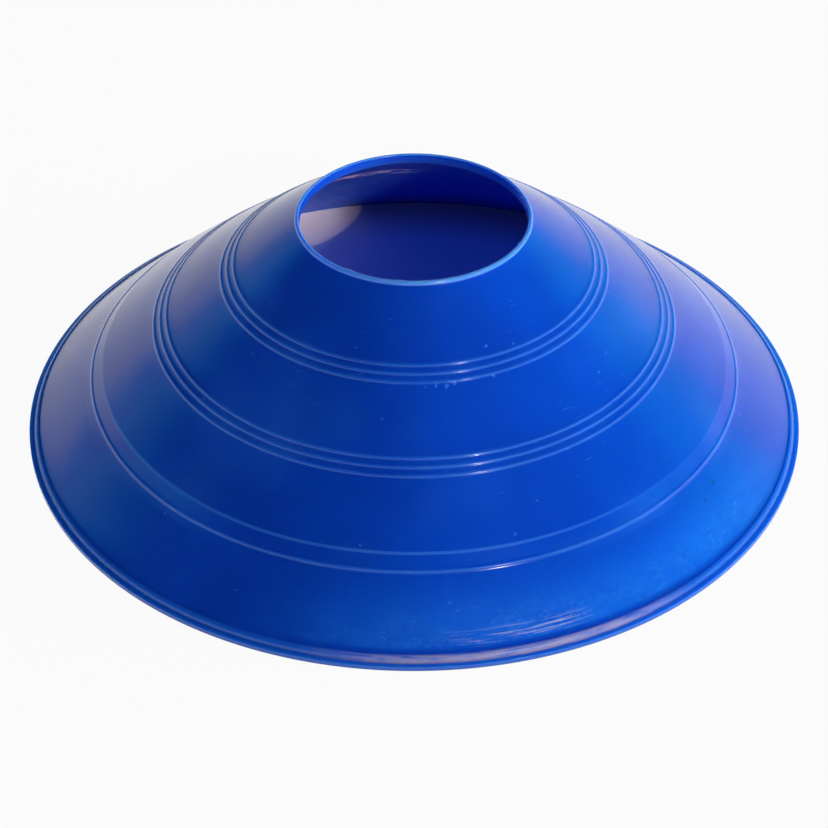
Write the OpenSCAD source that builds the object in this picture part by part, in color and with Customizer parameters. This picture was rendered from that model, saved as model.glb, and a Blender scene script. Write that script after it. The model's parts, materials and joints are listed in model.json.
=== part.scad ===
// Marker cone for sports fields: a low hollow cone, moulded in one piece of soft plastic.
// It stands on the ring of its foot, is open underneath, and has a round mouth at the top
// through which a stack of cones is threaded on a carrying pole.
// The origin is the middle of the foot, on the ground, and +Z points up through the mouth.

/* [Overall] */
// Outer diameter of the foot
base_d = 190; // [170:1:260]
// Height from the ground to the top of the lip
height = 56; // [45:0.5:80]
// Diameter of the round mouth
mouth_d = 54; // [40:1:75]
// Thickness of the wall, measured square to its surface
wall_t = 1.6; // [1.0:0.1:2.5]
// How far the wall bulges outwards half way up, measured upright
wall_bulge = 1.2; // [0:0.1:3]

/* [Lip] */
// Radius of the rounded bead round the mouth
lip_r = 0.6; // [0.4:0.05:1.0]

/* [Ribs] */
// Diameter of the middle rib in the upper group of ribs
upper_ribs_d = 89; // [85:0.5:110]
// Diameter of the middle rib in the second group of ribs
second_ribs_d = 122.4; // [118:0.2:142]
// Number of ribs in each group
ribs_per_group = 3; // [1:1:5]
// Distance from one rib to the next, measured outwards on plan
rib_pitch = 1.58; // [1.2:0.02:2.4]
// Radius of the rounded top of a rib
rib_r = 0.65; // [0.4:0.05:0.8]
// How far a rib stands out of the wall
rib_proud = 0.2; // [0.15:0.05:0.35]
// Radius of the shallow groove inside the wall behind each rib
rib_back_r = 0.25; // [0.1:0.05:0.4]

/* [Step above the skirt] */
// Diameter at which the step starts
step_d = 152; // [148:0.2:158]
// Width of the step, measured outwards on plan
step_w = 2.7; // [1.5:0.1:4]
// How far the skirt below the step lies under the line of the upper wall
step_drop = 0.5; // [0.2:0.1:1.2]
// How far the fine line on the upper edge of the step stands out
step_line_proud = 0.1; // [0.1:0.05:0.35]

/* [Rim and foot] */
// Radius of the bead that runs round the rim
rim_bead_r = 1.25; // [1.0:0.05:1.3]
// Distance from the edge of the foot in to the middle of the rim bead
rim_bead_in = 2.5; // [2:0.05:3]
// Height of the middle of the rim bead
rim_bead_z = 1.32; // [1.3:0.02:1.8]
// Height of the wall's outer surface over the middle of the rim bead
rim_wall_z = 2.3; // [2.0:0.1:2.8]
// Height of the upright edge of the foot
foot_h = 1.2; // [0.8:0.1:2]
// Width of the flat ring that the cone stands on
foot_w = 2.6; // [2:0.1:4]
// Small chamfer on the edges of the foot
foot_chamfer = 0.2; // [0.1:0.05:0.35]

/* [Hidden] */
$fn = 96;

// Overrun of a cut past the surface that it opens
over = 1;
// How far the bore trims the lip bead, so that the mouth keeps a true round wall
lip_trim = 0.1;

base_r = base_d / 2;
mouth_r = mouth_d / 2;
lip_mid_r = mouth_r + lip_r - lip_trim;
lip_mid_z = height - lip_r;
rim_r = base_r - rim_bead_in;
upper_ribs_r = upper_ribs_d / 2;
second_ribs_r = second_ribs_d / 2;
step_in_r = step_d / 2;
step_out_r = step_in_r + step_w;

// On the section the wall follows a straight line from the lip towards the rim, raised in the
// middle by the bulge. The skirt below the step lies lower than that line by the step's drop.
wall_run = rim_r - lip_mid_r;
line_fall = (lip_mid_z - rim_wall_z - step_drop) / wall_run;
wall_angle = atan(line_fall);
wall_t_z = wall_t / cos(wall_angle);

// Height of the bulged line at radius r
function line_z(r) =
    let (share = (r - lip_mid_r) / wall_run)
    lip_mid_z - (r - lip_mid_r) * line_fall + 4 * wall_bulge * share * (1 - share);

// The wall is made of straight cones that meet at the ribs and at the step
wall_knots = [
    [lip_mid_r, lip_mid_z],
    [upper_ribs_r, line_z(upper_ribs_r)],
    [second_ribs_r, line_z(second_ribs_r)],
    [step_in_r, line_z(step_in_r)],
    [step_out_r, line_z(step_out_r) - step_drop],
    [rim_r, rim_wall_z]
];

// Height of the outer surface of the wall at radius r
function wall_z(r) = lookup(r, wall_knots);

// Radii of the ribs of one group, centred on the middle radius
function group_radii(middle_r) = [
    for (i = [0 : ribs_per_group - 1])
        middle_r + (i - (ribs_per_group - 1) / 2) * rib_pitch
];

rib_radii = concat(group_radii(upper_ribs_r), group_radii(second_ribs_r), [step_out_r]);

// Section of the plain wall, without its ribs, run past the mouth so that the bore can trim it
module wall_section() {
    inner_knots = [for (k = wall_knots) [k.x, k.y - wall_t_z]];
    past_mouth_r = mouth_r - over;
    polygon(concat(
        [[past_mouth_r, lip_mid_z]],
        wall_knots,
        [for (i = [len(inner_knots) - 1 : -1 : 0]) inner_knots[i]],
        [[past_mouth_r, lip_mid_z + (lip_mid_r - past_mouth_r) * line_fall - wall_t_z]]
    ));
}

// Section of the foot: a flat ring to stand on, with an upright outer edge
module foot_section() {
    foot_in_r = base_r - foot_w;
    polygon([
        [foot_in_r, 0],
        [base_r - foot_chamfer, 0],
        [base_r, foot_chamfer],
        [base_r, foot_h - foot_chamfer],
        [base_r - foot_chamfer, foot_h],
        [foot_in_r, foot_h]
    ]);
}

// Ring with a round section of radius ring_r, whose middle lies at radius r and height z
module ring(r, z, ring_r) {
    rotate_extrude() translate([r, z]) circle(ring_r);
}

// Ring sunk in the wall's outer surface at radius r, so that its top stands out by proud
module rib(r, proud) {
    sink = rib_r - proud;
    ring(r - sink * sin(wall_angle), wall_z(r) - sink * cos(wall_angle), rib_r);
}

// The whole moulding
module cone_shell() {
    color("royalblue") difference() {
        union() {
            rotate_extrude() wall_section();
            rotate_extrude() foot_section();
            ring(rim_r, rim_bead_z, rim_bead_r);
            ring(lip_mid_r, lip_mid_z, lip_r);
            rib(step_in_r, step_line_proud);
            for (r = rib_radii) rib(r, rib_proud);
        }
        // The mouth
        translate([0, 0, -over]) cylinder(r = mouth_r, h = height + 2 * over);
        // Behind each rib the wall keeps its thickness
        for (r = rib_radii) ring(r, wall_z(r) - wall_t_z, rib_back_r);
    }
}

cone_shell();
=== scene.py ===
# %% [markdown]
# # A marker cone for sports fields
#
# The cone is one moulding of soft blue plastic. Its construction and its real size come from the
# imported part. This script gives it its looks: a finer surface, the worn glossy plastic, the camera
# and the light. Lengths are in metres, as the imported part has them, and sizes that are easier to
# read in millimetres are multiplied by MM where they are used.

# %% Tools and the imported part
import json
import math

import bpy
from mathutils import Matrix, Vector


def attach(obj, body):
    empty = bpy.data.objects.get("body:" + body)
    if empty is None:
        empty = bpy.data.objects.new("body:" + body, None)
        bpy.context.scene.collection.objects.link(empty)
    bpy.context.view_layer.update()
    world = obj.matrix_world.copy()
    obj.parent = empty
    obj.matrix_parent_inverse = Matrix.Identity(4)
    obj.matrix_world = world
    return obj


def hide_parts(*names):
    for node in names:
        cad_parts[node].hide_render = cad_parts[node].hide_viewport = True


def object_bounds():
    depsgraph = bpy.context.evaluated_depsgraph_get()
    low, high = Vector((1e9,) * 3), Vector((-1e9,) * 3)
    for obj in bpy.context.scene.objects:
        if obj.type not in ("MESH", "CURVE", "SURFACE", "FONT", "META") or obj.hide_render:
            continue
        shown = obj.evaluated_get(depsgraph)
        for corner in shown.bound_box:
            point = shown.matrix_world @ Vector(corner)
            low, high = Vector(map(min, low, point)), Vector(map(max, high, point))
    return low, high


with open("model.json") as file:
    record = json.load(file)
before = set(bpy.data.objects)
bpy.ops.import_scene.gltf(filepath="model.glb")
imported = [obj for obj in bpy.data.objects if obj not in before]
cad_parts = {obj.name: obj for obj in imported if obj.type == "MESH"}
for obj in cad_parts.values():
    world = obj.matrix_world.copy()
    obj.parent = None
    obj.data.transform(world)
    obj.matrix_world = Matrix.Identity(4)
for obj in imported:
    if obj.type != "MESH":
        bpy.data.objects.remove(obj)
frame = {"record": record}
cad_low, cad_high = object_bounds()
print("packed part:", [round(v, 5) for v in cad_high - cad_low], "metres")

MM = 0.001

# %% [markdown]
# These are the sizes that the outline of the wall follows, in millimetres. The foot's radius, the
# height and the mouth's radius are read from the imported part. The rest are the real sizes of the
# small forms on the wall.

# %% Sizes
mouth = next(m for m in frame["record"]["mounts"] if m["name"] == "mouth_bore")
BASE_R = cad_high.x / MM
HEIGHT = cad_high.z / MM
MOUTH_R = mouth["dims"]["r_mm"]

WALL_T = 1.6
WALL_BULGE = 1.2
LIP_R = 0.6
LIP_TRIM = 0.1
RIB_R = 0.65
RIB_PROUD = 0.2
RIB_PITCH = 1.58
RIB_BACK_R = 0.25
UPPER_RIBS_R = 44.5
SECOND_RIBS_R = 61.2
STEP_IN_R = 76.0
STEP_OUT_R = 78.7
STEP_DROP = 0.5
STEP_LINE_PROUD = 0.015
RIM_BEAD_R = 1.25
RIM_BEAD_IN = 2.5
RIM_BEAD_Z = 1.32
RIM_WALL_Z = 2.3
FOOT_H = 1.2
FOOT_W = 2.6

LIP_MID_R = MOUTH_R + LIP_R - LIP_TRIM
LIP_MID_Z = HEIGHT - LIP_R
RIM_R = BASE_R - RIM_BEAD_IN
WALL_RUN = RIM_R - LIP_MID_R
WALL_FALL = (LIP_MID_Z - RIM_WALL_Z - STEP_DROP) / WALL_RUN
WALL_ANGLE = math.atan(WALL_FALL)
WALL_T_Z = WALL_T / math.cos(WALL_ANGLE)
slope = math.degrees(WALL_ANGLE)
print(f"foot radius {BASE_R:.1f} mm, height {HEIGHT:.1f} mm, slope {slope:.1f} degrees")

# %% [markdown]
# The wall isn't quite a straight cone: it bulges a little between the lip and the rim, and the
# skirt lies lower than the wall above it. One function gives its height at each radius, so every
# rib and bead can be seated on it.

# %% Height of the wall
def wall_z(r):
    share = (r - LIP_MID_R) / WALL_RUN
    into_step = min(max((r - STEP_IN_R) / (STEP_OUT_R - STEP_IN_R), 0.0), 1.0)
    straight = LIP_MID_Z - (r - LIP_MID_R) * WALL_FALL
    return straight + 4 * WALL_BULGE * share * (1 - share) - STEP_DROP * into_step


for name, r in (("upper ribs", UPPER_RIBS_R), ("second ribs", SECOND_RIBS_R), ("rim", RIM_R)):
    print(f"{name}: radius {r:.1f} mm, height {wall_z(r):.2f} mm")

# %% [markdown]
# Every bead and rib is a ring with a round section, sunk in the wall. Its outline is the part of
# the circle that stands out of the wall, so the circle is walked round in small steps, and the
# points above the wall are kept. A groove on the inside is the same circle seen from below.

# %% Beads, ribs and grooves in the outline
OUTSIDE_STEP_DEG = 9
INSIDE_STEP_DEG = 30
FIRST_POINT_DEG = 198


def circle_points(mid_r, mid_z, radius, step_deg):
    for i in range(360 // step_deg):
        angle = math.radians(FIRST_POINT_DEG - i * step_deg)
        yield mid_r + radius * math.cos(angle), mid_z + radius * math.sin(angle)


def bead(mid_r, mid_z, radius, lowest=0.0):
    return [(r, z) for r, z in circle_points(mid_r, mid_z, radius, OUTSIDE_STEP_DEG)
            if z > max(wall_z(r), lowest) and r > MOUTH_R]


def rib(r, proud=RIB_PROUD):
    sink = RIB_R - proud
    return bead(r - sink * math.sin(WALL_ANGLE), wall_z(r) - sink * math.cos(WALL_ANGLE), RIB_R)


def groove(r):
    above = [(x, z) for x, z in circle_points(r, wall_z(r) - WALL_T_Z, RIB_BACK_R, INSIDE_STEP_DEG)
             if z > wall_z(x) - WALL_T_Z]
    return above[::-1]


def wall_between(first_r, last_r, pieces):
    steps = [first_r + (last_r - first_r) * i / pieces for i in range(pieces + 1)]
    return [(r, wall_z(r)) for r in steps]


rib_radii = [middle + i * RIB_PITCH for middle in (UPPER_RIBS_R, SECOND_RIBS_R) for i in (-1, 0, 1)]
print("ribs at", [round(r, 2) for r in rib_radii], "mm, each of", len(rib(UPPER_RIBS_R)), "points")

# %% [markdown]
# The outline of the wall's section is a closed line. It starts at the lower end of the mouth's
# round wall, goes over the lip, down the outside with its ribs, round the rim bead and the foot,
# and back up the inside, where a shallow groove lies behind each rib.

# %% The outline of the section
CLEAR = 0.75  # plain wall left free on both sides of a rib
OUTSIDE_PIECES = 6
INSIDE_PIECES = 4


def outside_points():
    points = bead(LIP_MID_R, LIP_MID_Z, LIP_R)
    plain_from = LIP_MID_R + LIP_R
    for middle in (UPPER_RIBS_R, SECOND_RIBS_R):
        first, last = middle - RIB_PITCH, middle + RIB_PITCH
        points += wall_between(plain_from, first - CLEAR, OUTSIDE_PIECES)
        for r in (first, middle, last):
            points += rib(r)
            if r < last:
                points += [(r + RIB_PITCH / 2, wall_z(r + RIB_PITCH / 2))]
        plain_from = last + CLEAR
    points += wall_between(plain_from, STEP_IN_R - CLEAR, OUTSIDE_PIECES)
    points += rib(STEP_IN_R, STEP_LINE_PROUD)
    points += wall_between(STEP_IN_R + CLEAR, STEP_OUT_R - CLEAR, 1)
    points += rib(STEP_OUT_R)
    rim_bead = bead(RIM_R, RIM_BEAD_Z, RIM_BEAD_R, FOOT_H)
    points += wall_between(STEP_OUT_R + CLEAR, rim_bead[0][0] - RIB_R, OUTSIDE_PIECES)
    return points + rim_bead


def foot_points():
    foot_in_r = BASE_R - FOOT_W
    inner_top = wall_z(foot_in_r) - WALL_T_Z
    return [(BASE_R, FOOT_H), (BASE_R, 0.0), (foot_in_r, 0.0), (foot_in_r, inner_top)]


def inside_points():
    points = []
    last_r = BASE_R - FOOT_W
    for r in (STEP_OUT_R, *reversed(rib_radii), MOUTH_R):
        pieces = INSIDE_PIECES if last_r - r > 2 * RIB_PITCH else 1
        stretch = wall_between(last_r - CLEAR, r + CLEAR, pieces) if last_r - r > 2 * CLEAR else []
        points += [(x, z - WALL_T_Z) for x, z in stretch]
        points += groove(r) if r > MOUTH_R else [(r, wall_z(r) - WALL_T_Z)]
        last_r = r
    return points


section = outside_points() + foot_points() + inside_points()
print("points in the outline:", len(section))

# %% [markdown]
# In Blender the outline is drawn as one would by hand: a single point is extruded from place to
# place. A cut mould leaves no knife-sharp inner corner, so each sharp corner of the line is then
# rounded by a vertex bevel. That gives every rib its soft root.

# %% Draw the section
CORNER_ROUND = 0.2
CORNER_PIECES = 3
SHARP_DEG = 32


def deselect_objects():
    bpy.ops.object.select_all(action="DESELECT")


def draw_line(points):
    deselect_objects()
    first = Vector((points[0][0], 0, points[0][1])) * MM
    bpy.ops.mesh.primitive_plane_add(size=MM, location=first)
    piece = bpy.context.object
    bpy.ops.object.transform_apply(location=True, rotation=True, scale=True)
    bpy.ops.object.mode_set(mode="EDIT")
    bpy.ops.mesh.merge(type="CENTER")
    place = first
    for r, z in points[1:]:
        target = Vector((r, 0, z)) * MM
        bpy.ops.mesh.extrude_vertices_move(TRANSFORM_OT_translate={"value": target - place})
        place = target
    bpy.ops.object.mode_set(mode="OBJECT")
    for vertex in (piece.data.vertices[0], piece.data.vertices[-1]):
        vertex.select = True
    bpy.ops.object.mode_set(mode="EDIT")
    bpy.ops.mesh.edge_face_add()
    bpy.ops.object.mode_set(mode="OBJECT")
    return piece


def turn_deg(before, here, after):
    first = Vector(here) - Vector(before)
    second = Vector(after) - Vector(here)
    return math.degrees(first.angle(second))


def round_corners(piece, points):
    count = len(points)
    sharp = [i for i in range(count)
             if turn_deg(points[i - 1], points[i], points[(i + 1) % count]) > SHARP_DEG]
    for vertex in piece.data.vertices:
        vertex.select = vertex.index in sharp
    bpy.ops.object.mode_set(mode="EDIT")
    bpy.ops.mesh.bevel(offset=CORNER_ROUND * MM, segments=CORNER_PIECES, affect="VERTICES",
                       clamp_overlap=True)
    bpy.ops.object.mode_set(mode="OBJECT")
    return len(sharp)


cone = draw_line(section)
print("drawn", len(cone.data.vertices), "points, rounded", round_corners(cone, section), "corners")

# %% [markdown]
# A round moulding is a section turned about its axis, which is what Spin does. Only a quarter turn
# is spun, because the mould is the same all round: two mirrors make the other three quarters.
# Then the doubled points of the seams are merged, and the faces are made to point outwards.

# %% Spin the section
QUARTER_STEPS = 72
MERGE = 0.002
SMOOTH_DEG = 40


def spin_round(piece):
    bpy.ops.object.mode_set(mode="EDIT")
    bpy.ops.mesh.select_all(action="SELECT")
    bpy.ops.mesh.spin(steps=QUARTER_STEPS, angle=math.pi / 2, center=(0, 0, 0), axis=(0, 0, 1))
    bpy.ops.object.mode_set(mode="OBJECT")
    mirror = piece.modifiers.new("other quarters", "MIRROR")
    mirror.use_axis = (True, True, False)
    mirror.merge_threshold = MERGE * MM
    bpy.ops.object.modifier_apply(modifier=mirror.name)
    bpy.ops.object.mode_set(mode="EDIT")
    bpy.ops.mesh.select_all(action="SELECT")
    bpy.ops.mesh.remove_doubles(threshold=MERGE * MM)
    bpy.ops.mesh.normals_make_consistent(inside=False)
    bpy.ops.object.mode_set(mode="OBJECT")


spin_round(cone)
cone.name = "marker_cone"
cone.data.name = "marker_cone"
bpy.ops.object.shade_smooth_by_angle(angle=math.radians(SMOOTH_DEG))
triangles = sum(len(face.vertices) - 2 for face in cone.data.polygons)
print("faces:", len(cone.data.polygons), "triangles:", triangles)

# %% [markdown]
# Soft plastic never cools quite true. The free wall between the lip and the rim sags and swells by
# a tenth of a millimetre or so, which can't be felt but makes every reflection on it a little wavy.
# A Displace modifier with a slow cloud texture does this. A vertex group holds the lip and the foot
# still, so that the mouth stays round and the cone stands flat.

# %% Waves of the cooled wall
WAVE_SIZE = 26
WAVE_HEIGHT = 0.3
HELD_NEAR_FOOT = 6
HELD_NEAR_LIP = 4


def free_share(z):
    from_foot = (z - FOOT_H) / HELD_NEAR_FOOT
    from_lip = (HEIGHT - z) / HELD_NEAR_LIP
    return max(0.0, min(1.0, from_foot, from_lip))


def wave_wall(piece):
    free_wall = piece.vertex_groups.new(name="free_wall")
    for vertex in piece.data.vertices:
        free_wall.add([vertex.index], free_share(vertex.co.z / MM), "REPLACE")
    clouds = bpy.data.textures.new("cooling_waves", "CLOUDS")
    clouds.noise_scale = WAVE_SIZE * MM
    clouds.noise_depth = 1
    waves = piece.modifiers.new("cooling waves", "DISPLACE")
    waves.texture = clouds
    waves.texture_coords = "LOCAL"
    waves.strength = WAVE_HEIGHT * MM
    waves.vertex_group = free_wall.name
    bpy.ops.object.modifier_apply(modifier=waves.name)


wave_wall(cone)
print("wall waved; height now", round(max(v.co.z for v in cone.data.vertices) / MM, 3), "mm")

# %% [markdown]
# Cones are stacked and pulled apart again and again, and each rubs the next on its ribs, beads and
# lip. The mesh remembers in an attribute how far each point stands out of the plain wall, and the
# plastic's material uses it to pale the rubbed crests. A second attribute marks the inside of the
# wall: the core of such a mould is left matt, so that the moulding comes off it, and the inside is
# duller for it.

# %% Crests that are rubbed, and the duller inside
def mark_points(piece):
    heights = []
    for vertex in piece.data.vertices:
        r = math.hypot(vertex.co.x, vertex.co.y) / MM
        heights.append((vertex.co.z / MM - wall_z(r)) * math.cos(WALL_ANGLE))
    marks = {"rubbed": [max(0.0, min(1.0, height / RIB_PROUD)) for height in heights],
             "inside": [float(height < -WALL_T / 2) for height in heights]}
    for name, values in marks.items():
        piece.data.attributes.new(name, "FLOAT", "POINT").data.foreach_set("value", values)
        print("points marked", name + ":", sum(value > 0.5 for value in values))


mark_points(cone)

# %% [markdown]
# Small marks of making and use. Where the two halves of the mould met, a few burrs of flash are left
# on the lip, and one rib has nicks from a knock. Sides are given in degrees: 0 is the front, and 90
# is the right. For each mark the nearest point is moved a little, and proportional editing takes its
# neighbours along, as one would do by hand.

# %% Burrs and nicks
# Side in degrees, and depth in mm
BURRS = ((-32.6, 0.55), (-5.8, 0.40), (6.2, 0.30), (17.5, 0.25), (64.0, 0.25))
NICKS = ((-1.6, 0.12), (3.4, 0.16), (7.8, 0.14), (11.3, 0.12))
NICKED_RIB_R = UPPER_RIBS_R + RIB_PITCH
BURR_REACH, NICK_REACH = 0.9, 0.8


def outwards(side_deg):
    side = math.radians(side_deg)
    return Vector((math.sin(side), -math.cos(side), 0))


def push(piece, side_deg, r, z, shift, reach):
    middle = (outwards(side_deg) * r + Vector((0, 0, z))) * MM
    nearest = min(piece.data.vertices, key=lambda vertex: (vertex.co - middle).length_squared).index
    bpy.ops.object.mode_set(mode="EDIT")
    bpy.ops.mesh.select_all(action="DESELECT")
    bpy.ops.object.mode_set(mode="OBJECT")
    piece.data.vertices[nearest].select = True
    bpy.ops.object.mode_set(mode="EDIT")
    bpy.ops.transform.translate(value=shift * MM, use_proportional_edit=True,
                                proportional_size=reach * MM, proportional_edit_falloff="SMOOTH")
    bpy.ops.object.mode_set(mode="OBJECT")


for side_deg, depth in BURRS:
    push(cone, side_deg, MOUTH_R, HEIGHT - LIP_R, -depth * outwards(side_deg), BURR_REACH)
for side_deg, depth in NICKS:
    inwards = Vector((0, 0, -depth)) - depth * outwards(side_deg)
    push(cone, side_deg, NICKED_RIB_R, wall_z(NICKED_RIB_R) + RIB_PROUD, inwards, NICK_REACH)
print(len(BURRS), "burrs and", len(NICKS), "nicks")

# %% [markdown]
# The next cells make the finish. Every colour is an sRGB hex value, and one function turns it into
# the linear values that a shader works with. One more function adds a node with its settings. What
# it is given for an input is linked if it comes from another node, and is set as a value otherwise.

# %% Colours and nodes
TIMES = {"operation": "MULTIPLY"}
PLUS = {"operation": "ADD"}
LARGER = {"operation": "MAXIMUM"}
SOFT = {"interpolation_type": "SMOOTHSTEP"}
COLOURS = {"data_type": "RGBA"}


def colour(code):
    parts = [int(code[i:i + 2], 16) / 255 for i in (1, 3, 5)]
    return [p / 12.92 if p <= 0.04045 else ((p + 0.055) / 1.055) ** 2.4 for p in parts] + [1.0]


def add_node(tree, kind, inputs=None, **settings):
    node = tree.nodes.new("ShaderNode" + kind)
    for name, value in settings.items():
        setattr(node, name, value)
    for name, value in (inputs or {}).items():
        if isinstance(value, bpy.types.Node):
            value = next(socket for socket in value.outputs if socket.enabled)
        if isinstance(value, bpy.types.NodeSocket):
            tree.links.new(value, node.inputs[name])
        else:
            node.inputs[name].default_value = value
    return node


def between(start, end, low=0.0, high=1.0):
    return {"From Min": start, "From Max": end, "To Min": low, "To Max": high}


def new_material(name):
    material = bpy.data.materials.new(name)
    material.use_nodes = True
    material.node_tree.nodes.clear()
    return material, material.node_tree


print("royal blue in linear values:", [round(part, 3) for part in colour("#084BC8")])

# %% [markdown]
# Wear on a round thing runs round it. So the patterns read a place that follows the rings: the
# direction from the axis, and the distance from the axis. Stretched along the direction, a plain
# noise becomes streaks that run round the cone, and it meets itself without a seam at the back.
# Other small helpers tell how near a point is to one side of the cone, or whether it lies in a band
# between two radii, and each gives a mask from 0 to 1. Masks are combined by multiplying them.

# %% Places that follow the rings
MEAN_R = 80
WHOLE_TURN = 2 * math.pi * MEAN_R


def ring_place(tree):
    place = add_node(tree, "TexCoord").outputs["Object"]
    flat = add_node(tree, "VectorMath", {0: place, 1: (1, 1, 0)}, **TIMES)
    radius = add_node(tree, "VectorMath", {0: flat}, operation="LENGTH")
    return place, radius, add_node(tree, "VectorMath", {0: flat}, operation="NORMALIZE")


def streaks(tree, ring, length, width, detail):
    _, radius, direction = ring
    turns = {0: direction, "Scale": MEAN_R / length}
    round_part = add_node(tree, "VectorMath", turns, operation="SCALE")
    across = add_node(tree, "Math", {0: radius, 1: 1 / (width * MM)}, **TIMES)
    out_part = add_node(tree, "CombineXYZ", {"Z": across})
    both = add_node(tree, "VectorMath", {0: round_part, 1: out_part}, **PLUS)
    return add_node(tree, "TexNoise", {"Vector": both, "Scale": 1.0, "Detail": detail})


def near_side(tree, direction, side_deg, full_deg, none_deg):
    both = {0: direction, 1: outwards(side_deg)}
    facing = add_node(tree, "VectorMath", both, operation="DOT_PRODUCT")
    limits = between(math.cos(math.radians(none_deg)), math.cos(math.radians(full_deg)))
    return add_node(tree, "MapRange", {"Value": facing, **limits}, **SOFT)


def in_band(tree, radius, rise_r, full_r, last_r, fall_r):
    inner_edge = between(rise_r * MM, full_r * MM)
    outer_edge = between(fall_r * MM, last_r * MM)
    rising = add_node(tree, "MapRange", {"Value": radius, **inner_edge}, **SOFT)
    falling = add_node(tree, "MapRange", {"Value": radius, **outer_edge}, **SOFT)
    return add_node(tree, "Math", {0: rising, 1: falling}, **TIMES)


def all_of(tree, first, *others):
    for other in others:
        first = add_node(tree, "Math", {0: first, 1: other}, **TIMES)
    return first


print("one turn at the mean radius is", round(WHOLE_TURN), "mm")

# %% [markdown]
# The finish is injection moulded low density polyethylene with its pigment mixed right through. To
# the eye it is a deep royal blue under a clear, slightly soft gloss. The pigment isn't spread quite
# evenly, so the blue drifts a little over a few centimetres.

# %% Blue pigment
BLOTCH_SIZE = 22

plastic, tree = new_material("moulded_blue_polyethylene")
ring = ring_place(tree)
place, radius, direction = ring
drift = add_node(tree, "TexNoise", {"Vector": place, "Scale": 1 / (BLOTCH_SIZE * MM)})
blotches = add_node(tree, "MapRange", {"Value": drift, **between(0.3, 0.7)}, **SOFT)
blends = {"Factor": blotches, "A": colour("#0848C6"), "B": colour("#084FD0")}
pigment = add_node(tree, "Mix", blends, **COLOURS)
print("pigment drifts over", BLOTCH_SIZE, "mm")

# %% [markdown]
# A cone is dragged over the ground on the same side again and again, here the front right, which is
# also the side toward the low sun. The skirt is frosted there: a mottled, duller blue, whose paler
# blue is partly wear and partly a painted haze of the sun's light on the rough plastic. Near the rim,
# round the side where the sun glints, the frosting turns into whitish scuffs that run round the cone:
# partly wear and partly painted glints. The back and the left aren't frosted.

# %% Frosting, scuffs and painted haze of the skirt
# Side in degrees, and how many degrees from it the wear and its painted light are last full, and then
# end
DRAGGED_AND_SUNLIT_SIDE = (26, 20, 52)
SCUFFED_AND_GLINT_SIDE = (15, 1, 12)
# Radii in mm where a band of wear starts, is full, is last full, and ends
SKIRT_BAND = (78, 88, 91, 92)
LOW_SKIRT_BAND = (83, 89.5, 91, 91.8)
LOWEST_SKIRT_BAND = (88.4, 89.6, 90.8, 91.4)
# Length and width of the marks in mm
MOTTLE = (1.2, 0.6)
CLOUD = (7, 2.2)
COMB = (9, 0.3)

skirt = in_band(tree, radius, *SKIRT_BAND)
low_skirt = in_band(tree, radius, *LOW_SKIRT_BAND)
lowest_skirt = in_band(tree, radius, *LOWEST_SKIRT_BAND)
dragged_and_sunlit = near_side(tree, direction, *DRAGGED_AND_SUNLIT_SIDE)
most_dragged_and_glint_side = near_side(tree, direction, *SCUFFED_AND_GLINT_SIDE)
fine = streaks(tree, ring, *MOTTLE, 4)
mottling = add_node(tree, "MapRange", {"Value": fine, **between(-0.3, 0.78)})
wide = streaks(tree, ring, *CLOUD, 3)
clouds = add_node(tree, "MapRange", {"Value": wide, **between(0.2, 0.8)}, **SOFT)
thin = streaks(tree, ring, *COMB, 4)
combed = add_node(tree, "MapRange", {"Value": thin, **between(0.50, 0.68)}, **SOFT)
# Painted light: the frosting's paler blue is partly wear and partly painted haze of the sun, and the
# whitish scuffs are partly wear and partly painted glints.
frosting_and_painted_haze = all_of(tree, skirt, dragged_and_sunlit, mottling)
cloudy_wear_and_painted_haze = all_of(tree, low_skirt, dragged_and_sunlit, clouds, mottling)
scuffs_and_painted_glints = all_of(tree, lowest_skirt, most_dragged_and_glint_side, combed)
print("frosting round side", DRAGGED_AND_SUNLIT_SIDE[0], "and scuffs round side", SCUFFED_AND_GLINT_SIDE[0], "degrees")

# %% [markdown]
# The crests of the ribs, the lip and the outside of the rim bead touch other cones and the ground
# first. They are rubbed to a lighter blue. The fine line above the skirt gets a painted highlight,
# paler at the front left only, where light catches it. Towards the sun the bead is scuffed to a pale
# matt band, partly wear and partly a painted glint of the sun. Inside the wall, behind the upper
# ribs on the side away from the sun, a few pale dashes are painted glints of the sunlight that
# comes through the mouth.

# %% Rubbed crests and painted glints
# The line's lit side, the bead's glint side and the inside glint side are where painted highlights
# fall.
LINE_LIT_SIDE = (-30, 30, 90)
BEAD_GLINT_SIDE = (13, 4, 30)
INSIDE_GLINT_SIDE = (202, 4, 30)
RIBS_BAND = (MOUTH_R + 2, MOUTH_R + 3, 80, 81)
LINE_BAND = (75.6, 75.8, 76.1, 76.3)
LIP_BAND = (0, 1, MOUTH_R + 1.0, MOUTH_R + 1.4)
BEAD_BAND = (92.3, 93.2, 93.8, 94.4)
FOOT_BAND = (94.0, 94.6, 96, 97)
BEHIND_RIBS_BAND = (40, 42, 46, 49)
WORN_MARK = (5, 0.5)
INSIDE_GLINT_MARK = (9, 4)

rubbed = add_node(tree, "Attribute", attribute_name="rubbed").outputs["Fac"]
inside = add_node(tree, "Attribute", attribute_name="inside").outputs["Fac"]
on_ribs = all_of(tree, rubbed, in_band(tree, radius, *RIBS_BAND))
line_lit_side = near_side(tree, direction, *LINE_LIT_SIDE)
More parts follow.
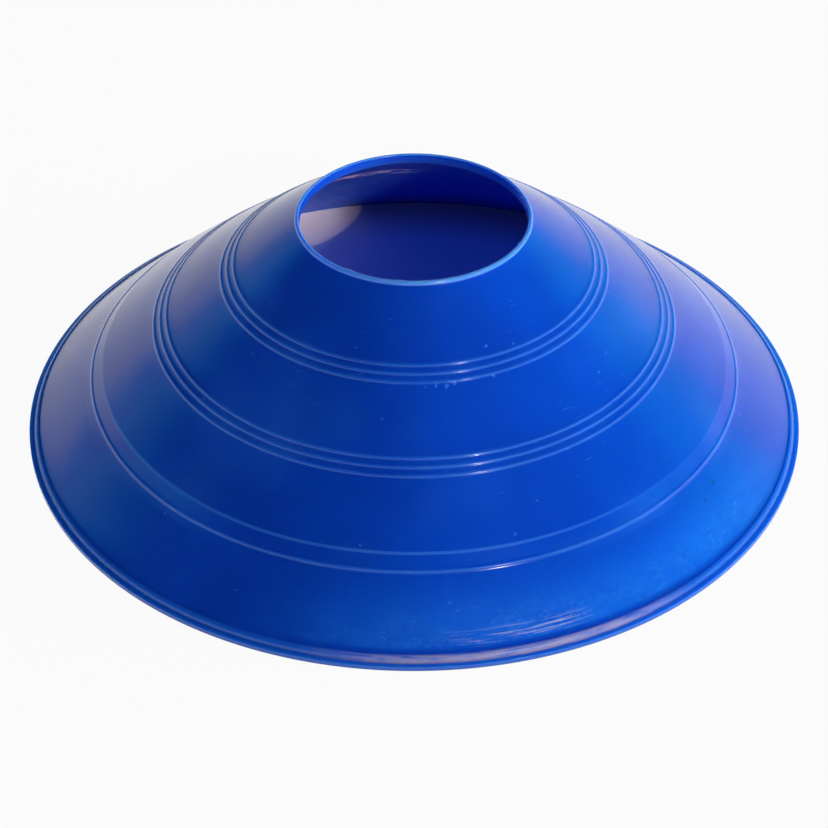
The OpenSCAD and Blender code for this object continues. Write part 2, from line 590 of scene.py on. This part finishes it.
# Painted highlight: the fine line above the skirt is paler only on its lit front left side.
painted_step_line_highlight = all_of(tree, line_lit_side, in_band(tree, radius, *LINE_BAND))
on_lip = all_of(tree, rubbed, in_band(tree, radius, *LIP_BAND))
on_bead = in_band(tree, radius, *BEAD_BAND)
on_foot = in_band(tree, radius, *FOOT_BAND)
worn = streaks(tree, ring, *WORN_MARK, 5)
worn_through = add_node(tree, "MapRange", {"Value": worn, **between(0.2, 0.6)}, **SOFT)
bead_glint_side = near_side(tree, direction, *BEAD_GLINT_SIDE)
# Partly wear and partly painted glint: the pale matt band of the bead on the sun's side.
bead_scuffs_and_painted_glint = all_of(tree, on_bead, bead_glint_side, worn_through)
# Painted glints: pale dashes inside the wall, where sunlight through the mouth glints behind the
# upper ribs.
broad = streaks(tree, ring, *INSIDE_GLINT_MARK, 2)
glint_dashes = add_node(tree, "MapRange", {"Value": broad, **between(0.46, 0.60)}, **SOFT)
behind_ribs = in_band(tree, radius, *BEHIND_RIBS_BAND)
inside_glint_side = near_side(tree, direction, *INSIDE_GLINT_SIDE)
painted_inside_glints = all_of(tree, inside, behind_ribs, inside_glint_side, glint_dashes)
print("bead rubbed from", BEAD_BAND[0], "to", BEAD_BAND[-1], "mm")

# %% [markdown]
# Fine scratches run round the wall here and there. A few pale specks are grains that were ground
# into the soft plastic, and a few dark smudges are dirt that stayed in it. Under the nicked rib the
# plastic is chipped to a lighter blue. Each has its own place on the wall, given by its radius, its
# side and its size, and a fine noise makes its border ragged. Real scratches of use are finer than
# a tenth of a millimetre: here they are drawn coarser, so that they show.

# %% Scratches, specks and smudges
# Radius in mm, side in degrees, and size in mm
SPECKS = ((60.6, -52.5, 0.35), (80.3, -44.6, 0.35), (86.5, -27.0, 0.4), (40.7, -18.9, 0.3),
          (52.9, -7.9, 0.3), (74.4, 17.4, 0.35), (69.7, 23.0, 0.35), (84.1, 5.3, 0.4),
          (75.0, -9.1, 0.3), (54.1, 51.4, 0.4), (40.9, 23.4, 0.5), (42.1, 32.3, 0.4))
CHIPS = ((46.8, 2.9, 0.5), (46.8, 6.0, 0.5), (47.0, 8.9, 0.7), (46.5, 11.2, 0.6), (46.6, 22.3, 0.6))
SMUDGES = ((82.1, 57.0, 0.8), (83.4, 53.2, 0.6), (88.4, 102.9, 1.0), (85.9, 113.3, 0.9))
SPOT_CORE_SHARE = 0.4
RAGGED_GRAIN, RAGGED_SHIFT = 0.6, 1.6
SCRATCH = (5, 0.22)
PATCH_SIZE = 12


def ragged_place(tree, place):
    grains = add_node(tree, "TexNoise", {"Vector": place, "Scale": 1 / (RAGGED_GRAIN * MM)})
    about_zero = {0: grains.outputs["Color"], 1: (0.5, 0.5, 0.5)}
    centred = add_node(tree, "VectorMath", about_zero, operation="SUBTRACT")
    shifts = add_node(tree, "VectorMath", {0: centred, "Scale": RAGGED_SHIFT * MM}, operation="SCALE")
    return add_node(tree, "VectorMath", {0: place, 1: shifts}, **PLUS)


def spots(tree, place, marks):
    found = 0.0
    for r, side_deg, size in marks:
        middle = (outwards(side_deg) * r + Vector((0, 0, wall_z(r)))) * MM
        away = add_node(tree, "VectorMath", {0: place, 1: middle}, operation="DISTANCE")
        edge = between(size * MM, SPOT_CORE_SHARE * size * MM)
        spot = add_node(tree, "MapRange", {"Value": away, **edge}, **SOFT)
        found = add_node(tree, "Math", {0: spot, 1: found}, **LARGER)
    return found


scratched = streaks(tree, ring, *SCRATCH, 1)
thin_lines = add_node(tree, "MapRange", {"Value": scratched, **between(0.72, 0.79)}, **SOFT)
patches = add_node(tree, "TexNoise", {"Vector": place, "Scale": 1 / (PATCH_SIZE * MM)})
in_patches = add_node(tree, "MapRange", {"Value": patches, **between(0.5, 0.62)}, **SOFT)
scratches = all_of(tree, thin_lines, in_patches)
ragged = ragged_place(tree, place)
specks = spots(tree, ragged, SPECKS)
chips = spots(tree, ragged, CHIPS)
smudges = spots(tree, ragged, SMUDGES)
print(len(SPECKS), "specks,", len(CHIPS), "chips and", len(SMUDGES), "smudges")

# %% [markdown]
# Each kind of wear, and each painted haze, glint and highlight, is painted over the one before it,
# with its own share of its own colour.

# %% Layers of colour
# Colour, share where the mask is full, and mask
# Frosting, cloudy wear, scuffs and bead scuffs are partly wear and partly painted light; the step
# line's paler side and the inside dashes are painted highlights.
LAYERS = (("#1284FC", 0.52, frosting_and_painted_haze), ("#2C90F8", 0.40, cloudy_wear_and_painted_haze), ("#3C90F6", 0.40, on_ribs),
          ("#E4DCEC", 0.60, scuffs_and_painted_glints), ("#7FB2FF", 0.30, scratches), ("#2880E8", 0.45, on_bead),
          ("#4088E8", 0.60, painted_step_line_highlight), ("#3A8CFF", 0.75, chips),
          ("#B4AACC", 0.80, bead_scuffs_and_painted_glint), ("#1C84EC", 0.50, on_foot), ("#6CAEFF", 0.50, specks),
          ("#06286A", 0.45, smudges), ("#4E94F8", 1.00, on_lip), ("#E8F0FF", 0.80, painted_inside_glints))

paint = pigment
for code, share, where in LAYERS:
    amount = add_node(tree, "Math", {0: where, 1: share}, **TIMES)
    paint = add_node(tree, "Mix", {"Factor": amount, "A": paint, "B": colour(code)}, **COLOURS)
print("layers of colour:", len(LAYERS))

# %% [markdown]
# Out of a polished mould the plastic is glossy, and handling dulls it unevenly. Where it is frosted
# or scuffed it is far duller, and so is the inside. Two very low bumps make the reflections live: a
# skin like very fine orange peel, and marks that the turning tool left in the mould and that run
# round the cone.

# %% Shine and skin
HANDLED_SIZE = 6
PEEL_SIZE, PEEL_HEIGHT = 1.6, 0.004
TURNED_LENGTH, TURNED_WIDTH, TURNED_HEIGHT = 60, 0.5, 0.002

uneven = {"Vector": place, "Scale": 1 / (HANDLED_SIZE * MM), "Detail": 4.0}
handled = add_node(tree, "TexNoise", uneven)
gloss = add_node(tree, "MapRange", {"Value": handled, **between(0.3, 0.7, 0.12, 0.17)}, **SOFT)
dull_parts = ((frosting_and_painted_haze, 0.15), (scuffs_and_painted_glints, 0.25), (bead_scuffs_and_painted_glint, 0.30), (inside, 0.45))
roughness = gloss
for where, share in dull_parts:
    duller = add_node(tree, "Math", {0: where, 1: share}, **TIMES)
    roughness = add_node(tree, "Math", {0: roughness, 1: duller}, **PLUS)

peel = add_node(tree, "TexNoise", {"Vector": place, "Scale": 1 / (PEEL_SIZE * MM)})
peel_bump = {"Height": peel, "Strength": 1.0, "Distance": PEEL_HEIGHT * MM}
skin = add_node(tree, "Bump", peel_bump)
turned = streaks(tree, ring, TURNED_LENGTH, TURNED_WIDTH, 1)
turned_bump = {"Height": turned, "Normal": skin, "Strength": 1.0, "Distance": TURNED_HEIGHT * MM}
surface = add_node(tree, "Bump", turned_bump)
print("parts duller than the rest:", len(dull_parts))

# %% [markdown]
# The shader gathers these. Its IOR of 1.51 is polyethylene's. The plastic isn't opaque right at its
# surface: light enters it and comes out again a little further on, blue light furthest. So thin
# edges look softer and bluer, which subsurface scattering gives.

# %% The plastic's shader
POLYETHYLENE_IOR = 1.51
LIGHT_REACH = (0.2, 0.8, 2.5)  # of red, green and blue light in the plastic, in mm

looks = {"Base Color": paint, "Roughness": roughness, "Normal": surface}
shader = add_node(tree, "BsdfPrincipled", looks)
shader.inputs["IOR"].default_value = POLYETHYLENE_IOR
shader.inputs["Subsurface Weight"].default_value = 1.0
shader.inputs["Subsurface Radius"].default_value = LIGHT_REACH
shader.inputs["Subsurface Scale"].default_value = MM
add_node(tree, "OutputMaterial", {"Surface": shader})

cone.data.materials.append(plastic)
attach(cone, "root")
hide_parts("cone_shell")
print("finish:", plastic.name, "with", len(tree.nodes), "nodes")

# %% [markdown]
# The camera stands where the photograph was taken from: in front of the cone, about 36 degrees up
# and a little over half a metre away, with its frame moved down a little.

# %% Camera
CAMERA_UP_DEG = 36.025
CAMERA_ROLL_DEG = 0.136
CAMERA_DISTANCE = 571.3 * MM
AIM_HEIGHT = 20 * MM
IMAGE_SIDE = 828
FOCAL_PIXELS = 2338.0
MIDDLE_PIXEL_Y = 338.6
SENSOR = 36.0

camera_data = bpy.data.cameras.new("camera")
camera_data.sensor_width = SENSOR
camera_data.lens = FOCAL_PIXELS / IMAGE_SIDE * SENSOR
camera_data.shift_y = (MIDDLE_PIXEL_Y - IMAGE_SIDE / 2) / IMAGE_SIDE
camera = bpy.data.objects.new("camera", camera_data)
bpy.context.scene.collection.objects.link(camera)
up = math.radians(CAMERA_UP_DEG)
camera.location = (0, -CAMERA_DISTANCE * math.cos(up), AIM_HEIGHT + CAMERA_DISTANCE * math.sin(up))
camera.rotation_mode = "ZYX"
camera.rotation_euler = (math.pi / 2 - up, 0, -math.radians(CAMERA_ROLL_DEG))
bpy.context.scene.camera = camera
print(f"lens {camera_data.lens:.1f} mm, shift {camera_data.shift_y:.4f}")

# %% [markdown]
# The cone stands on a plain pale floor. To the camera, and in reflections, the floor is mostly plain
# white, and a small share of its matt paint lets the cone's shadow show. Inside the cone the floor
# is a piece of its own, with a pale blue paint and a faint blue glow painted into its material:
# painted light that stands in for the light coming through the blue wall. The painted glow fades
# towards the wall's foot, which leaves a painted shade there.

# %% Floor
WHITE_SHARE = 0.94
GLOW = 0.10
GLOW_FROM_R, GLOW_TO_R = 70, 90
FLOOR_SPLIT_R = BASE_R - FOOT_W / 2
FLOOR_R = 6000
FLOOR_SIDES = 96
FLOOR_ROUGHNESS = 0.9


def seen_directly(tree):
    path = add_node(tree, "LightPath")
    seen = path.outputs["Is Camera Ray"]
    for ray in ("Is Glossy Ray", "Is Transmission Ray"):
        seen = add_node(tree, "Math", {0: seen, 1: path.outputs[ray]}, **LARGER)
    return seen


def pale_floor():
    material, tree = new_material("matt_white_floor")
    paint = {"Base Color": colour("#E4E4E4"), "Roughness": FLOOR_ROUGHNESS}
    matt = add_node(tree, "BsdfPrincipled", paint)
    white = add_node(tree, "Emission", {"Strength": 1.0})
    share = add_node(tree, "Math", {0: seen_directly(tree), 1: WHITE_SHARE}, **TIMES)
    mixed = add_node(tree, "MixShader", {0: share, 1: matt, 2: white})
    add_node(tree, "OutputMaterial", {"Surface": mixed})
    return material


def painted_glow_floor():
    material, tree = new_material("floor_lit_through_the_plastic")
    _, radius, _ = ring_place(tree)
    # Painted light: the emission is a painted blue glow, fading to painted shade near the wall's
    # foot.
    fading = between(GLOW_FROM_R * MM, GLOW_TO_R * MM, GLOW, 0.0)
    glow = add_node(tree, "MapRange", {"Value": radius, **fading}, **SOFT)
    # The pale blue floor paint is painted light from the blue wall as well.
    paint = {"Base Color": colour("#BCD0F0"), "Roughness": FLOOR_ROUGHNESS}
    shine = {"Emission Color": colour("#004CFF"), "Emission Strength": glow}
    matt = add_node(tree, "BsdfPrincipled", {**paint, **shine})
    add_node(tree, "OutputMaterial", {"Surface": matt})
    return material


def add_floor(name, inner_r, outer_r, material):
    deselect_objects()
    fill = "NOTHING" if inner_r else "NGON"
    first_r = (inner_r or outer_r) * MM
    bpy.ops.mesh.primitive_circle_add(vertices=FLOOR_SIDES, radius=first_r, fill_type=fill)
    piece = bpy.context.object
    piece.name = name
    if inner_r:
        bpy.ops.object.mode_set(mode="EDIT")
        bpy.ops.mesh.extrude_edges_move()
        bpy.ops.transform.resize(value=(outer_r / inner_r, outer_r / inner_r, 1))
        bpy.ops.mesh.select_all(action="SELECT")
        bpy.ops.mesh.normals_make_consistent(inside=True)
        bpy.ops.object.mode_set(mode="OBJECT")
    piece.data.materials.append(material)
    print(name, "faces:", len(piece.data.polygons), "facing", round(piece.data.polygons[0].normal.z))


add_floor("floor", FLOOR_SPLIT_R, FLOOR_R, pale_floor())
add_floor("floor_under_cone", 0, FLOOR_SPLIT_R, painted_glow_floor())

# %% [markdown]
# The light is soft daylight. A low sun stands at the front right: it makes the small bright glints
# on the ribs. A wide softbox at the right gives the wall its shading from right to left, and isn't
# mirrored in the gloss. A warm lamp beside the sun shines through the mouth in a narrow cone, and
# makes the small patch on the ground inside. From the lamp the mouth looks like a flat oval, so the
# lamp is scaled in one direction, which squeezes its round cone of light to such an oval.

# %% Light
SUN_SIDE_DEG, SUN_UP_DEG = 27.7, 29.0
SUN_STRENGTH, SUN_WIDTH_DEG = 0.6, 2.0
SOFTBOX_SIDE_DEG, SOFTBOX_UP_DEG = 85, 14
SOFTBOX_WATTS, SOFTBOX_W, SOFTBOX_H = 23, 1.0, 0.6
BEAM_SIDE_DEG, BEAM_UP_DEG = 24.2, 28.3
BEAM_SOFT_EDGE, BEAM_LAMP_R = 0.35, 0.01
BEAM_R = 19
BEAM_WATTS = 240
LAMP_DISTANCE = 1.5


def hang(name, light, side_deg, up_deg, aim):
    lamp = bpy.data.objects.new(name, light)
    bpy.context.scene.collection.objects.link(lamp)
    up_angle = math.radians(up_deg)
    away = outwards(side_deg) * math.cos(up_angle) + Vector((0, 0, math.sin(up_angle)))
    lamp.location = aim + away * LAMP_DISTANCE
    lamp.rotation_euler = (math.radians(90 - up_deg), 0, math.radians(side_deg))
    print(f"{name}: side {side_deg} degrees, {up_deg} degrees up, strength {light.energy}")
    return lamp


sun = bpy.data.lights.new("sun", "SUN")
sun.energy = SUN_STRENGTH
sun.angle = math.radians(SUN_WIDTH_DEG)
hang("sun", sun, SUN_SIDE_DEG, SUN_UP_DEG, Vector())

softbox = bpy.data.lights.new("softbox", "AREA")
softbox.shape = "RECTANGLE"
softbox.size, softbox.size_y = SOFTBOX_W, SOFTBOX_H
softbox.energy = SOFTBOX_WATTS
hang("softbox", softbox, SOFTBOX_SIDE_DEG, SOFTBOX_UP_DEG, Vector()).visible_glossy = False

beam = bpy.data.lights.new("beam", "SPOT")
beam.spot_size = 2 * math.atan(BEAM_R * MM / LAMP_DISTANCE)
beam.spot_blend = BEAM_SOFT_EDGE
beam.shadow_soft_size = BEAM_LAMP_R
beam.energy = BEAM_WATTS
beam.color = colour("#FFC688")[:3]
mouth_middle = Vector((0, 0, HEIGHT)) * MM
beam_lamp = hang("beam", beam, BEAM_SIDE_DEG, BEAM_UP_DEG, mouth_middle)
beam_lamp.scale.y = math.sin(math.radians(BEAM_UP_DEG))

# %% [markdown]
# What the gloss mirrors is the world: white near the ground, and the blues of an open sky above,
# brighter at the right than at the left. That gives the pale borders at both sides of the wall and
# keeps its front deep blue. For soft light from all round the world is plain grey and white, so the
# cone's own colour stays as it is written. Each sky is a list of heights in degrees and colours.

# %% World
SKY_LEFT = ((0, "#FFFFFF"), (8, "#F0F2FF"), (14, "#98C6F8"), (20, "#7CD0F8"), (26, "#22A0CA"),
            (33, "#1C1048"), (45, "#000000"))
SKY_RIGHT = ((0, "#FFFFFF"), (8, "#E4F8FF"), (14, "#92F8F0"), (20, "#60FFFF"), (26, "#38FFFF"),
             (33, "#1AA0FC"), (45, "#188AFF"), (70, "#2850FF"))
SOFT_LIGHT = ((0, "#FFFFFF"), (14, "#FFFFFF"), (23, "#C3C3C3"), (31, "#959595"), (40, "#6C6C6C"),
              (65, "#404040"))
SOFT_STRENGTH = 0.82
SKIES_MEET = 0.4


def sky(tree, height, stops):
    ramp = add_node(tree, "ValToRGB", {0: height})
    for up_deg, _ in stops[2:]:
        ramp.color_ramp.elements.new(math.sin(math.radians(up_deg)))
    for stop, (up_deg, code) in zip(ramp.color_ramp.elements, stops):
        stop.position = math.sin(math.radians(up_deg))
        stop.color = colour(code)
    return ramp


world = bpy.data.worlds.new("studio")
bpy.context.scene.world = world
world.use_nodes = True
tree = world.node_tree
tree.nodes.clear()
toward = add_node(tree, "SeparateXYZ", {0: add_node(tree, "TexCoord").outputs["Generated"]})
height = toward.outputs["Z"]
meeting = between(-SKIES_MEET, SKIES_MEET)
to_right = add_node(tree, "MapRange", {"Value": toward.outputs["X"], **meeting}, **SOFT)
sides = {"Factor": to_right, "A": sky(tree, height, SKY_LEFT), "B": sky(tree, height, SKY_RIGHT)}
mirrored = add_node(tree, "Mix", sides, **COLOURS)
rays = {"Factor": seen_directly(tree), "A": sky(tree, height, SOFT_LIGHT), "B": mirrored}
shown = add_node(tree, "Mix", rays, **COLOURS)
strengths = between(0, 1, SOFT_STRENGTH, 1.0)
level = add_node(tree, "MapRange", {"Value": seen_directly(tree), **strengths})
background = add_node(tree, "Background", {"Color": shown, "Strength": level})
add_node(tree, "OutputWorld", {"Surface": background})
bpy.context.scene.view_settings.view_transform = "Standard"
print("world:", len(tree.nodes), "nodes")
